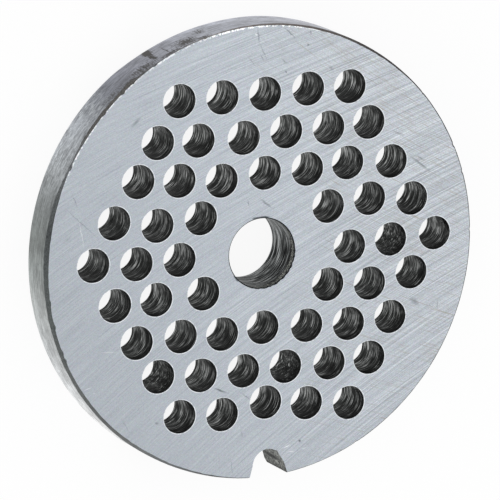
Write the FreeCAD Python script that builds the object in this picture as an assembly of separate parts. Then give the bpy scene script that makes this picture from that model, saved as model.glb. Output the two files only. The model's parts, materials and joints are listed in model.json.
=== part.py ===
"""Plate of a meat grinder: a ground steel disc with a bore, a rim notch and a field of drilled holes.

The plate lies on its back. +Z rises out of the face that the knife runs on, along the bore's axis.
The origin is on that axis, level with the back face. The rim notch opens towards -Y.
All lengths are in millimetres and all angles in degrees.
"""
import FreeCAD, Part
import math
import os

# The disc
PLATE_DIAMETER = 70.0
PLATE_THICKNESS = 7.8
# The knife face is broken at the rim by a steep bevel, narrow across the face and taller down the rim
FACE_BEVEL_ACROSS = 0.25
FACE_BEVEL_DOWN = 0.4
# The back is broken by an even bevel, which also leads the plate into the grinder's head
BACK_BEVEL = 0.6

# The bore for the stud of the feed screw
BORE_DIAMETER = 10.7
BORE_BEVEL = 0.2

# The holes that the meat is pressed through, on a lattice of equal triangles
HOLE_DIAMETER = 5.1
WEB = 1.9            # steel between two neighbouring holes
HUB_LAND = 3.0       # least steel between the bore and a hole
RIM_LAND = 3.5       # least steel between a hole and the rim
PATTERN_TURN = -2.0  # the rows are turned this much from the line square to the notch
PATTERN_SHIFT_X = 0.5
PATTERN_SHIFT_Y = 0.2

# The notch that fits over the locating pin in the grinder's head
NOTCH_MOUTH = 6.1
NOTCH_DEPTH = 4.4
NOTCH_END_RADIUS = 2.6

# Holes where the drill ran off its mark. A place is the row above the middle one and the number of
# half pitches along it. The error is how far the hole lies along its row and across it.
DRILL_WANDER = {
    (4, 2): (0.1, 0.2),
    (3, -3): (-0.4, -0.2),
    (3, -1): (0.0, -0.4),
    (3, 5): (-0.3, 0.3),
    (2, -6): (0.3, 0.4),
    (2, -2): (-0.1, -0.6),
    (2, 4): (-0.3, 0.4),
    (1, -7): (-0.1, 0.5),
    (1, -5): (-0.1, -0.5),
    (1, 5): (-0.1, 0.6),
    (0, -8): (0.0, 0.4),
    (0, 4): (0.1, -0.5),
    (0, 8): (0.4, 0.3),
    (-1, -5): (-0.3, 0.3),
    (-1, -3): (0.4, 0.5),
    (-1, 5): (0.0, -0.5),
    (-1, 7): (0.0, 0.6),
    (-2, -4): (0.2, 0.3),
    (-2, 0): (-0.3, 0.4),
    (-2, 4): (0.0, -0.4),
    (-3, -5): (0.0, 0.5),
    (-3, 3): (0.3, -0.2),
    (-4, -2): (0.0, -0.4),
    (-4, 0): (0.2, 0.8),
    (-4, 4): (0.1, -0.7),
}

# Cutting tools reach this far past the steel that they cut
OVERRUN = 2.0

# Sizes that follow from the ones above
PLATE_RADIUS = PLATE_DIAMETER / 2
BORE_RADIUS = BORE_DIAMETER / 2
HOLE_RADIUS = HOLE_DIAMETER / 2
HOLE_PITCH = HOLE_DIAMETER + WEB
ROW_PITCH = HOLE_PITCH * math.sin(math.radians(60.0))

Z_AXIS = FreeCAD.Vector(0, 0, 1)
AXIS_FOOT = FreeCAD.Vector(0, 0, 0)


def turned_blank():
    """Turn the disc from its half section: rim, bevels, both faces and the bore."""
    mouth = BORE_RADIUS + BORE_BEVEL
    section = [
        (mouth, 0),
        (PLATE_RADIUS - BACK_BEVEL, 0),
        (PLATE_RADIUS, BACK_BEVEL),
        (PLATE_RADIUS, PLATE_THICKNESS - FACE_BEVEL_DOWN),
        (PLATE_RADIUS - FACE_BEVEL_ACROSS, PLATE_THICKNESS),
        (mouth, PLATE_THICKNESS),
        (BORE_RADIUS, PLATE_THICKNESS - BORE_BEVEL),
        (BORE_RADIUS, BORE_BEVEL),
    ]
    points = [FreeCAD.Vector(radius, 0, height) for radius, height in section]
    outline = Part.makePolygon(points + points[:1])
    return Part.Face(outline).revolve(AXIS_FOOT, Z_AXIS, 360)


def lattice_places():
    """List the lattice places that keep clear of the bore and of the rim."""
    nearest = BORE_RADIUS + HUB_LAND + HOLE_RADIUS
    furthest = PLATE_RADIUS - RIM_LAND - HOLE_RADIUS
    rows = int(furthest / ROW_PITCH)
    halves = int(furthest / (HOLE_PITCH / 2))
    places = []
    for row in range(rows, -rows - 1, -1):
        for half in range(-halves, halves + 1):
            between_rows = (row + half) % 2 == 1
            distance = math.hypot(half * HOLE_PITCH / 2, row * ROW_PITCH)
            if not between_rows and nearest <= distance <= furthest:
                places.append((row, half))
    return places


def hole_centre(row, half):
    """Give the middle of the hole at a lattice place, with the wander of the drill."""
    along_error, across_error = DRILL_WANDER.get((row, half), (0.0, 0.0))
    along = half * HOLE_PITCH / 2 + along_error
    across = row * ROW_PITCH + across_error
    turn = math.radians(PATTERN_TURN)
    x = PATTERN_SHIFT_X + along * math.cos(turn) - across * math.sin(turn)
    y = PATTERN_SHIFT_Y + along * math.sin(turn) + across * math.cos(turn)
    return x, y


def drills():
    """Make one drill for each hole, long enough to pass both faces."""
    length = PLATE_THICKNESS + 2 * OVERRUN
    made = []
    for row, half in lattice_places():
        x, y = hole_centre(row, half)
        made.append(Part.makeCylinder(HOLE_RADIUS, length, FreeCAD.Vector(x, y, -OVERRUN), Z_AXIS))
    return made


def notch_cutter():
    """Make the cutter of the rim notch: a round end and two walls that open towards the rim."""
    end_y = -(PLATE_RADIUS - NOTCH_DEPTH + NOTCH_END_RADIUS)
    mouth_x = NOTCH_MOUTH / 2
    mouth_y = -math.sqrt(PLATE_RADIUS ** 2 - mouth_x ** 2)
    # Each wall runs from the corner at the rim and touches the round end
    to_corner = math.atan2(mouth_y - end_y, mouth_x)
    corner_distance = math.hypot(mouth_x, mouth_y - end_y)
    touch_angle = to_corner + math.acos(NOTCH_END_RADIUS / corner_distance)
    touch_x = NOTCH_END_RADIUS * math.cos(touch_angle)
    touch_y = end_y + NOTCH_END_RADIUS * math.sin(touch_angle)
    wall = math.hypot(mouth_x - touch_x, mouth_y - touch_y)
    outer_x = mouth_x + OVERRUN * (mouth_x - touch_x) / wall
    outer_y = mouth_y + OVERRUN * (mouth_y - touch_y) / wall

    foot = -OVERRUN
    right_touch = FreeCAD.Vector(touch_x, touch_y, foot)
    left_touch = FreeCAD.Vector(-touch_x, touch_y, foot)
    right_outer = FreeCAD.Vector(outer_x, outer_y, foot)
    left_outer = FreeCAD.Vector(-outer_x, outer_y, foot)
    crown = FreeCAD.Vector(0, end_y + NOTCH_END_RADIUS, foot)
    outline = Part.Wire([
        Part.LineSegment(right_outer, right_touch).toShape(),
        Part.Arc(right_touch, crown, left_touch).toShape(),
        Part.LineSegment(left_touch, left_outer).toShape(),
        Part.LineSegment(left_outer, right_outer).toShape(),
    ])
    return Part.Face(outline).extrude(Z_AXIS * (PLATE_THICKNESS + 2 * OVERRUN))


def grinder_plate():
    """Cut the holes and the notch out of the turned disc."""
    cutters = Part.makeCompound(drills() + [notch_cutter()])
    return turned_blank().cut(cutters).Solids[0]


def main():
    """Build the plate and write it."""
    os.makedirs("parts", exist_ok=True)
    plate = grinder_plate()
    print("grinder_plate:", len(lattice_places()), "holes, valid", plate.isValid())
    plate.exportStep("parts/grinder_plate.step")


main()
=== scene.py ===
"""A used plate of a meat grinder: ground steel faces, a dull scaled rim and dark drilled holes.

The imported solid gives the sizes: its radius, thickness, bore and the place of each hole. A finer plate
is modelled over it, with the edges, chips and rough walls of the real one, and is dressed in steel.
Lengths are in metres, and MM turns real sizes in millimetres into them. Azimuths are in degrees round
the plate's axis: -90 is at the notch and 0 to the right of it.
"""

import json
import logging
import math
import random
from collections.abc import Callable
from dataclasses import dataclass, field
from enum import Enum

import bmesh
import bpy
from bpy.types import Material, Node, NodeSocket, NodeTree, Object
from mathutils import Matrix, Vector, noise

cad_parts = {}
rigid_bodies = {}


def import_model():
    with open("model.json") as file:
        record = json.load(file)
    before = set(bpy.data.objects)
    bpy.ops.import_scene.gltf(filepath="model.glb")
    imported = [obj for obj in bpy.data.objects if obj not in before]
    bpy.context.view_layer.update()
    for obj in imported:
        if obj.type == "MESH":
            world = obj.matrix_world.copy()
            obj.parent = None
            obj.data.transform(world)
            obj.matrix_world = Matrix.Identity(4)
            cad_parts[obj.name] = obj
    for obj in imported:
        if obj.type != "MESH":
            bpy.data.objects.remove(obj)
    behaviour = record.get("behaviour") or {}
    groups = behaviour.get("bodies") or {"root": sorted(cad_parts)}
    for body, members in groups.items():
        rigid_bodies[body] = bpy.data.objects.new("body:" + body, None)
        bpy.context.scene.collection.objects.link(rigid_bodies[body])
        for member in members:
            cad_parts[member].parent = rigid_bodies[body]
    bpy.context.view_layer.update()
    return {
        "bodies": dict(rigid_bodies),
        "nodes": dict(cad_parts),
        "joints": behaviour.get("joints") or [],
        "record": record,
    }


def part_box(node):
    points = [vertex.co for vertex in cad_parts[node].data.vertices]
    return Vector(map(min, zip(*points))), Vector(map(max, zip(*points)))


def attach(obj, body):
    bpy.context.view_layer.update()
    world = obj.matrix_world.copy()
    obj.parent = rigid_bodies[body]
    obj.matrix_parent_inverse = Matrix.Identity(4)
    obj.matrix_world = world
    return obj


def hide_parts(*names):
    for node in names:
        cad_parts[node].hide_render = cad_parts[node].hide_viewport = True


log = logging.getLogger("scene")

MM = 0.001
# Two places closer than this are the same
NEAR = 0.01 * MM
NODE = "grinder_plate"
BODY = "root"

Triple = tuple[float, float, float]
# What can be linked into an input: a socket, or a node, which stands for its first output in use
Source = NodeSocket | Node
# Tones round the plate: azimuths from -180 to 180, each with a hex colour or a share of white
Tones = tuple[tuple[float, str | float], ...]


def steel(code: str) -> tuple[float, float, float, float]:
    """Turn an sRGB hex colour into the linear one that a shader takes.

    Args:
        code: The colour as "#rrggbb".

    Returns:
        Red, green, blue and an alpha of one.
    """
    channels = [int(code[place:place + 2], 16) / 255 for place in (1, 3, 5)]
    linear = [c / 12.92 if c <= 0.04045 else ((c + 0.055) / 1.055) ** 2.4 for c in channels]
    return linear[0], linear[1], linear[2], 1.0


def tones_round(tones: Tones) -> list[tuple[float, str]]:
    """Turn tones round the plate into the stops of a ramp that a radial gradient reads.

    Args:
        tones: The tones in order, with the same one at both ends.

    Returns:
        The stops in order.
    """
    return [((azimuth + 180) / 360, tone if isinstance(tone, str) else "#" + f"{round(tone * 255):02x}" * 3)
            for azimuth, tone in tones]


@dataclass(frozen=True)
class Spot:
    """A soft spot that fades from its middle outwards, turned about an upright line through it."""

    middle: Triple
    turn: float
    reach: Triple
    depth: float


@dataclass(frozen=True)
class Nodes:
    """The nodes of one material or of the world."""

    tree: NodeTree

    def add(self, kind: str, settings: dict | None = None) -> Node:
        """Add a node with its settings and the links into it.

        Args:
            kind: The node's type, without the leading "ShaderNode".
            settings: Properties by name, inputs by name or number, and "stops" for a colour ramp. An
                input takes a value, a hex colour, or a socket or node to link in.

        Returns:
            The new node.
        """
        node = self.tree.nodes.new("ShaderNode" + kind)
        for key, value in (settings or {}).items():
            if isinstance(value, Node):
                value = next(socket for socket in value.outputs if socket.enabled)
            if key == "stops":
                ramp = node.color_ramp
                while len(ramp.elements) < len(value):
                    ramp.elements.new(1.0)
                for element, (place, code) in zip(ramp.elements, value):
                    element.position = place
                    element.color = steel(code)
            elif isinstance(value, NodeSocket):
                self.tree.links.new(value, node.inputs[key])
            elif isinstance(key, str) and hasattr(node, key):
                setattr(node, key, value)
            else:
                node.inputs[key].default_value = steel(value) if isinstance(value, str) else value
        return node

    def streaks(self, place: Source, size: Triple, detail: float, roughness: float = 0.6,
                turn: Triple = (0.0, 0.0, 0.0)) -> Node:
        """Draw noise that is drawn out as a tool's lines are.

        Args:
            place: The coordinates to draw in.
            size: The size of a streak along each axis.
            detail: How much finer noise is added.
            roughness: How strong the finer noise is.
            turn: How far the streaks are turned round each axis.

        Returns:
            The noise, from 0 to 1.
        """
        drawn = self.add("Mapping", {
            "vector_type": "TEXTURE", "Vector": place, "Rotation": turn, "Scale": size})
        return self.add("TexNoise", {
            "Vector": drawn, "Scale": 1.0, "Detail": detail, "Roughness": roughness})

    def spots(self, place: Source, spots: list[Spot]) -> Node:
        """Draw soft spots.

        Args:
            place: The object coordinates.
            spots: The spots.

        Returns:
            A mask of all of them.
        """
        mask = None
        for spot in spots:
            inside = self.add("Mapping", {
                "vector_type": "TEXTURE", "Vector": place, "Location": spot.middle,
                "Rotation": (0, 0, spot.turn), "Scale": spot.reach})
            ball = self.add("TexGradient", {"gradient_type": "SPHERICAL", "Vector": inside})
            depth = self.add("Math", {"operation": "MULTIPLY", 0: ball.outputs["Fac"], 1: spot.depth})
            mask = self.add("Math", {"operation": "MAXIMUM", 0: mask, 1: depth}) if mask else depth
        return mask

    def looked_at(self) -> Node:
        """Give a mask of the light that reaches the eye, straight, through glass or by a reflection."""
        seen = self.add("LightPath").outputs
        direct = self.add("Math", {
            "operation": "MAXIMUM", 0: seen["Is Camera Ray"], 1: seen["Is Transmission Ray"]})
        return self.add("Math", {"operation": "MAXIMUM", 0: direct, 1: seen["Is Glossy Ray"]})


def new_material(name: str) -> tuple[Material, Nodes]:
    """Make an empty material.

    Args:
        name: The material's name.

    Returns:
        The material and its nodes.
    """
    material = bpy.data.materials.new(name)
    material.use_nodes = True
    material.node_tree.nodes.clear()
    return material, Nodes(material.node_tree)


def blend(start: float, end: float, share: float) -> float:
    """Go a share of the way from one value to another."""
    return start + share * (end - start)


def deselect_all() -> None:
    """Clear the selection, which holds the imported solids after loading."""
    if bpy.context.object and bpy.context.object.mode != "OBJECT":
        bpy.ops.object.mode_set(mode="OBJECT")
    bpy.ops.object.select_all(action="DESELECT")


def pick(piece: Object, wanted: Callable[[Vector, Vector], bool], what: str = "faces") -> None:
    """Select faces or vertices of a mesh in edit mode by their place.

    Args:
        piece: The object in edit mode.
        wanted: Takes the middle and the normal of a face, or the place and normal of a vertex.
        what: "faces" or "verts".
    """
    bpy.ops.mesh.select_mode(type="FACE" if what == "faces" else "VERT")
    bpy.ops.mesh.select_all(action="DESELECT")
    mesh = bmesh.from_edit_mesh(piece.data)
    for element in getattr(mesh, what):
        place = element.calc_center_median() if what == "faces" else element.co
        if wanted(place, element.normal):
            element.select = True
    mesh.select_flush_mode()
    bmesh.update_edit_mesh(piece.data)


def slice_level(heights: list[float]) -> None:
    """Cut lines round the mesh in edit mode at some heights."""
    for height in heights:
        bpy.ops.mesh.select_all(action="SELECT")
        bpy.ops.mesh.bisect(plane_co=(0, 0, height), plane_no=(0, 0, 1))


@dataclass(frozen=True)
class Mouth:
    """A round opening in the knife face: where it is and how wide."""

    x: float
    y: float
    radius: float


@dataclass(frozen=True)
class PlateSizes:
    """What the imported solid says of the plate."""

    radius: float
    thickness: float
    bore: Mouth
    holes: tuple[Mouth, ...]

    @staticmethod
    def read(frame: dict) -> "PlateSizes":
        """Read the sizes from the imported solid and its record.


        Returns:
            The sizes of the plate.
        """
        _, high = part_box(NODE)
        mounts = {mount["name"]: mount for mount in frame["record"]["mounts"]}
        bore_radius = mounts["centre_bore"]["dims"]["r_mm"] * MM
        rim_radius = mounts["rim"]["dims"]["r_mm"] * MM
        mouths = read_mouths(frame["nodes"][NODE], high.z)
        holes = [m for m in mouths if math.hypot(m.x, m.y) > bore_radius and m.radius < bore_radius]
        return PlateSizes(rim_radius, high.z, Mouth(0.0, 0.0, bore_radius), tuple(holes))


def read_mouths(node: Object, level: float) -> list[Mouth]:
    """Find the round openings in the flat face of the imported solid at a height.

    Args:
        node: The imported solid's object. It is only read.
        level: The height of the face.

    Returns:
        One mouth for each closed line round the face's openings, the plate's outline among them.
    """
    mesh = bmesh.new()
    mesh.from_mesh(node.data)
    bmesh.ops.remove_doubles(mesh, verts=mesh.verts, dist=0.001 * MM)
    top = {f for f in mesh.faces if all(abs(v.co.z - level) < NEAR for v in f.verts)}
    neighbours: dict[bmesh.types.BMVert, list[bmesh.types.BMVert]] = {}
    for edge in mesh.edges:
        if sum(f in top for f in edge.link_faces) == 1:
            start, end = edge.verts
            neighbours.setdefault(start, []).append(end)
            neighbours.setdefault(end, []).append(start)
    mouths = []
    waiting = dict.fromkeys(sorted(neighbours, key=lambda vert: vert.index))
    while waiting:
        loop = [next(iter(waiting))]
        del waiting[loop[0]]
        for vert in loop:
            for other in neighbours[vert]:
                if other in waiting:
                    del waiting[other]
                    loop.append(other)
        middle = sum((v.co for v in loop), Vector()) / len(loop)
        radius = sum((v.co - middle).length for v in loop) / len(loop)
        mouths.append(Mouth(middle.x, middle.y, radius))
    mesh.free()
    return mouths


class Finish(Enum):
    """The finishes of the plate, in the order of its material slots."""

    GROUND = 0
    RIM = 1
    BROKEN_EDGE = 2
    DRILLED = 3
    TORN = 4
    BORE = 5
    BORE_EDGE = 6
    NOTCH = 7
    MOUTH = 8


@dataclass(frozen=True)
class RimEdge:
    """The hand-stoned bevel at one azimuth: how far it goes across the face and down the rim, in mm."""

    azimuth: float
    across: float
    down: float


@dataclass(frozen=True)
class Nick:
    """A dent in the edge of the knife face: its azimuth, and its width and depth in mm."""

    azimuth: float
    width: float
    depth: float


@dataclass
class GrinderPlate:
    """The plate itself: a turned disc with a bore, drilled holes and a notch in its rim."""

    sizes: PlateSizes
    rim_steps: int = 1080
    # The bevel is tall on the left of the plate and almost gone on the right
    rim_edges: tuple[RimEdge, ...] = (
        RimEdge(-180.0, 0.26, 1.30), RimEdge(-155.0, 0.24, 1.25), RimEdge(-138.0, 0.32, 1.50),
        RimEdge(-131.0, 0.42, 2.10), RimEdge(-124.0, 0.46, 2.30), RimEdge(-117.0, 0.44, 1.20),
        RimEdge(-105.0, 0.32, 0.60), RimEdge(-98.0, 0.20, 0.40), RimEdge(-60.0, 0.18, 0.18),
        RimEdge(-40.0, 0.19, 0.18), RimEdge(40.0, 0.20, 0.20), RimEdge(50.0, 0.33, 0.45),
        RimEdge(60.0, 0.40, 0.75), RimEdge(80.0, 0.18, 0.85), RimEdge(93.0, 0.10, 0.52),
        RimEdge(100.0, 0.08, 0.26), RimEdge(116.0, 0.07, 0.14), RimEdge(121.0, 0.12, 0.35),
        RimEdge(127.0, 0.18, 0.65), RimEdge(136.0, 0.20, 0.75), RimEdge(145.0, 0.16, 0.55),
        RimEdge(149.0, 0.10, 0.30), RimEdge(154.0, 0.14, 0.50), RimEdge(159.0, 0.22, 1.05),
        RimEdge(172.0, 0.28, 1.40), RimEdge(180.0, 0.26, 1.30))
    # Between these azimuths the bevel is chipped, and elsewhere it is five times smoother
    chipped: tuple[float, float] = (98.0, 156.0)
    smoother: float = 0.2
    nicks: tuple[Nick, ...] = (
        Nick(151.0, 1.2, 0.22), Nick(135.5, 0.8, 0.16), Nick(128.5, 0.9, 0.20), Nick(125.0, 0.5, 0.16),
        Nick(118.0, 0.9, 0.16), Nick(103.5, 0.6, 0.14), Nick(38.0, 0.6, 0.08), Nick(21.5, 0.8, 0.13),
        Nick(14.0, 0.6, 0.10), Nick(-1.2, 0.7, 0.10), Nick(-65.0, 0.6, 0.08), Nick(-174.7, 1.1, 0.13),
        Nick(-168.4, 0.9, 0.15), Nick(-161.5, 1.2, 0.12), Nick(-159.2, 0.8, 0.16))
    # The height of the rim's slight waves, in mm
    rim_waves: float = 0.02
    back_bevel: float = 0.6 * MM
    # The back bevel is taller at the top of the plate: how much, round which azimuth and how far
    back_bevel_more: float = 0.5 * MM
    back_bevel_middle: float = 105.5
    back_bevel_half: float = 21.5
    # Lines round the rim carry its waves. They stay below the tallest part of the bevel.
    rim_lines: tuple[float, ...] = (0.2, 0.3, 0.4, 0.5, 0.6)
    # Drilled holes, each with a thin burr round its mouth, which goes across and down. Its pale colour is a
    # painted glint.
    hole_steps: int = 56
    hole_wear: float = 0.06 * MM
    burr: tuple[float, float] = (0.11 * MM, 0.05 * MM)
    # How far the back end of every drilled hole lies from its mouth, as the drills leaned
    drill_lean: tuple[float, float] = (-0.12 * MM, 0.08 * MM)
    drill_rings: int = 13
    drill_ring_depth: float = 0.03 * MM
    # Holes whose walls the drill tore, so that they are pitted and not ringed
    torn_holes: tuple[tuple[float, float], ...] = (
        (3.4 * MM, -18.1 * MM), (21.5 * MM, -0.5 * MM), (-17.6 * MM, -16.9 * MM))
    # The bore, whose edge is broken at the knife face and ragged on one side
    bore_steps: int = 144
    bore_rings: int = 18
    bore_edge: float = 0.17 * MM
    bore_back_edge: float = 0.05 * MM
    bore_raggedness: float = 0.14 * MM
    ragged_side: Triple = (0.7, -0.7, 0.0)
    # The notch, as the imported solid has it, a little wider where it was filed
    notch_mouth: float = 6.1 * MM
    notch_depth: float = 4.4 * MM
    notch_end_radius: float = 2.62 * MM
    # How much wider than its mouth the cutter is where it leaves the plate
    notch_flare: float = 1.155
    # The wall leans out of upright: outwards at the round end and inwards at the mouth
    notch_end_lean: float = 0.22 * MM
    notch_mouth_lean: float = -0.34 * MM
    notch_roughness: float = 0.07 * MM
    notch_smoother_side: float = 0.25
    notch_steps: int = 72
    notch_lines: tuple[float, ...] = (0.1, 0.22, 0.33, 0.44, 0.56, 0.67, 0.78, 0.9)
    # Azimuths, seen from the middle of the round end, between which the right wall is one flat facet
    notch_facets: tuple[float, ...] = (80.0, 55.0, 5.0)
    # Faces that meet at less than this many degrees are shaded as one
    smooth_below: float = 13.0
    overrun: float = 1.0 * MM
    seed: int = 12
    piece: Object = field(init=False)

    def build(self) -> Object:
        """Model the plate and leave it at rest in the frame.

        Returns:
            The plate's object.
        """
        self.piece = self.turn_blank()
        self.wear_the_rim()
        self.cut(self.make_cutters())
        self.dress()
        return self.piece

    def blank_edge(self) -> tuple[float, float]:
        """Give the bevel of the fresh blank: the widest across and the least down of the worn one."""
        return (max(edge.across for edge in self.rim_edges) * MM,
                min(edge.down for edge in self.rim_edges) * MM)

    def turn_blank(self) -> Object:
        """Make the disc with its two bevels and some lines round the rim.

        Returns:
            The disc.
        """
        radius, thickness = self.sizes.radius, self.sizes.thickness
        widest, least = self.blank_edge()
        deselect_all()
        bpy.ops.mesh.primitive_cylinder_add(
            vertices=self.rim_steps, radius=radius, depth=thickness, end_fill_type="NGON",
            location=(0, 0, thickness / 2))
        disc = bpy.context.object
        disc.name = "steel_plate"
        bpy.ops.object.transform_apply(location=True)
        bpy.ops.object.mode_set(mode="EDIT")
        for level, inset, shift in ((thickness, widest, -least), (0.0, self.back_bevel, self.back_bevel)):
            pick(disc, lambda place, normal: abs(place.z - level) < NEAR and abs(normal.z) > 0.9)
            bpy.ops.mesh.inset(thickness=inset, depth=0)
            pick(disc, lambda place, normal: abs(place.z - level) < NEAR
                 and math.hypot(place.x, place.y) > radius - NEAR, "verts")
            bpy.ops.transform.translate(value=(0, 0, shift))
        slice_level([thickness * share for share in self.rim_lines])
        bpy.ops.object.mode_set(mode="OBJECT")
        return disc

    def edge_at(self, azimuth: float) -> tuple[float, float]:
        """Give how far the bevel goes across the face and down the rim at an azimuth."""
        for before, after in zip(self.rim_edges, self.rim_edges[1:]):
            if before.azimuth <= azimuth <= after.azimuth:
                share = (azimuth - before.azimuth) / (after.azimuth - before.azimuth)
                across = blend(before.across * MM, after.across * MM, share)
                down = blend(before.down * MM, after.down * MM, share)
        outward = Vector((math.cos(math.radians(azimuth)), math.sin(math.radians(azimuth)), 0.0))
        chips = 1.0 if self.chipped[0] < azimuth < self.chipped[1] else self.smoother
        ragged = 0.3 * noise.noise(outward * 14.0) + chips * noise.noise(outward * 60.0)
        return across * (1.0 + 0.18 * noise.noise(outward * 30.0)), down * (1.0 + 0.45 * ragged)

    def nick_depth(self, azimuth: float) -> float:
        """Give how deep the nicks in the face's edge are at an azimuth."""
        depth = 0.0
        for nick in self.nicks:
            turn = (azimuth - nick.azimuth + 180.0) % 360.0 - 180.0
            along = math.radians(turn) * self.sizes.radius / (nick.width * MM / 2)
            if abs(along) < 1.0:
                depth = max(depth, nick.depth * MM * (1.0 - along * along))
        return depth

    def wear_the_rim(self) -> None:
        """Move the rim's vertices to the uneven bevels, the nicks and slight waves of the real one."""
        radius, thickness = self.sizes.radius, self.sizes.thickness
        widest, least = self.blank_edge()
        for vert in self.piece.data.vertices:
            place = vert.co
            distance = math.hypot(place.x, place.y)
            if distance < radius - self.back_bevel - NEAR:
                continue
            azimuth = math.degrees(math.atan2(place.y, place.x))
            outward = Vector((place.x, place.y, 0.0)) / distance
            across, down = self.edge_at(azimuth)
            nick = self.nick_depth(azimuth)
            if abs(place.z - thickness) < NEAR:
                vert.co += outward * (widest - across - nick)
            elif abs(place.z - (thickness - least)) < NEAR:
                vert.co.z = thickness - down - nick
                vert.co -= outward * nick * 0.4
            elif abs(place.z - self.back_bevel) < NEAR:
                off_middle = (azimuth - self.back_bevel_middle) / self.back_bevel_half
                vert.co.z += self.back_bevel_more * max(0.0, 1.0 - off_middle ** 4) ** 2
            elif NEAR < place.z < thickness - NEAR:
                vert.co -= outward * self.rim_waves * MM * (noise.noise(place * 900.0) + 0.6)

    def make_drill(self, name: str, steps: int, profile: list[tuple[float, float]]) -> Object:
        """Model one drill as the shape that it leaves.

        Args:
            name: The drill's name.
            steps: The number of its sides.
            profile: Its radius and height at each level, from the lowest up.

        Returns:
            The drill, standing on the plate's axis.
        """
        last_radius, last_height = profile[0]
        deselect_all()
        bpy.ops.mesh.primitive_circle_add(
            vertices=steps, radius=last_radius, fill_type="NGON", location=(0, 0, last_height))
        drill = bpy.context.object
        drill.name = name
        bpy.ops.object.transform_apply(location=True)
        bpy.ops.object.mode_set(mode="EDIT")
        bpy.ops.mesh.select_all(action="SELECT")
        for radius, height in profile[1:]:
            bpy.ops.mesh.extrude_region_move(
                TRANSFORM_OT_translate={"value": (0, 0, height - last_height)})
            share = radius / last_radius
            bpy.ops.transform.resize(value=(share, share, 1), center_override=(0, 0, height))
            last_radius, last_height = radius, height
        bpy.ops.mesh.select_all(action="SELECT")
        bpy.ops.mesh.normals_make_consistent(inside=False)
        bpy.ops.object.mode_set(mode="OBJECT")
        return drill

    def drill_profile(self, radius: float, top: tuple[float, float], back: tuple[float, float],
                      rings: int) -> list[tuple[float, float]]:
        """List the levels of a drill: a wall with tool rings between two broken edges.

        Args:
            radius: The radius of the wall.
            top: How far the edge at the knife face reaches across and down.
            back: How far the edge at the back reaches across and up.
            rings: The number of tool rings along the wall.

        Returns:
            Radius and height at each level.
        """
        thickness = self.sizes.thickness
        draw = random.Random(self.seed + rings)
        # The slope of each broken edge goes on outside the plate by half of its size
        beyond = 0.5
        back_radius = radius + back[0] * (1 + beyond)
        top_radius = radius + top[0] * (1 + beyond)
        low, high = back[1], thickness - top[1]
        levels = [(back_radius, -self.overrun), (back_radius, -back[1] * beyond), (radius, low)]
        for number in range(rings):
            share = (number + 0.5 + draw.uniform(-0.3, 0.3)) / rings
            groove = self.drill_ring_depth * draw.uniform(-1.0, 1.0)
            levels.append((radius + groove, low + (high - low) * share))
        return levels + [(radius, high), (top_radius, thickness + top[1] * beyond),
                         (top_radius, thickness + self.overrun)]

    def make_bore_cutter(self) -> Object:
        """Model the bore's cutter, whose upper edge is ragged on the side away from the camera.

        Returns:
            The cutter, standing on the plate's axis.
        """
        cutter = self.make_drill("bore_cutter", self.bore_steps, self.drill_profile(
            self.sizes.bore.radius, (self.bore_edge, self.bore_edge),
            (self.bore_back_edge, self.bore_back_edge), self.bore_rings))
        for vert in cutter.data.vertices:
            if vert.co.z >= self.sizes.thickness - self.bore_edge * 1.1:
                outward = Vector((vert.co.x, vert.co.y, 0.0)).normalized()
                side = max(0.0, outward.dot(Vector(self.ragged_side)))
                torn = noise.noise(outward * 9.0) + 0.8 * noise.noise(outward * 24.0)
                vert.co += outward * self.bore_raggedness * side * torn
        return cutter

    def make_notch_cutter(self) -> Object:
        """Model the cutter of the rim notch, with a round end, walls that open and rough facets.

        Returns:
            The cutter, in its place at the rim.
        """
        radius, thickness = self.sizes.radius, self.sizes.thickness
        end = self.notch_end_radius
        end_y = -(radius - self.notch_depth + end)
        outer_y = -(radius + self.overrun)
        deselect_all()
        bpy.ops.mesh.primitive_cylinder_add(
            vertices=self.notch_steps, radius=end, depth=thickness + 2 * self.overrun,
            end_fill_type="NGON", location=(0, end_y, thickness / 2))
        cutter = bpy.context.object
        cutter.name = "notch_cutter"
        bpy.ops.object.transform_apply(location=True)
        self.file_facets(cutter, end_y)
        bpy.ops.object.mode_set(mode="EDIT")
        # The outer half is drawn out past the rim and spread
        pick(cutter, lambda place, normal: place.y < end_y + 0.02 * end, "verts")
        bpy.ops.transform.resize(value=(1, 0, 1), center_override=(0, outer_y, 0))
        spread = self.notch_mouth * self.notch_flare / (2 * end)
        bpy.ops.transform.resize(value=(spread, 1, 1), center_override=(0, outer_y, 0))
        slice_level([thickness * share for share in self.notch_lines])
        bpy.ops.mesh.select_all(action="SELECT")
        bpy.ops.mesh.normals_make_consistent(inside=False)
        bpy.ops.object.mode_set(mode="OBJECT")
        for vert in cutter.data.vertices:
            place = vert.co
            out = Vector((place.x, place.y - end_y, 0.0)).normalized()
            side = 1.0 if place.x > -0.5 * MM else self.notch_smoother_side
            share = min(1.0, max(0.0, (end_y + end - place.y) / self.notch_depth))
            lean = blend(self.notch_end_lean, self.notch_mouth_lean, share)
            drop = min(1.0, max(0.0, 1.0 - place.z / thickness))
            if 0 < place.z < thickness:
                rough = noise.noise(place * 700.0) + 0.7 * noise.noise(place * 1900.0)
                vert.co += out * self.notch_roughness * rough * side
            vert.co.x += lean * drop * side * (1 if place.x > 0 else -1)
        return cutter

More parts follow.
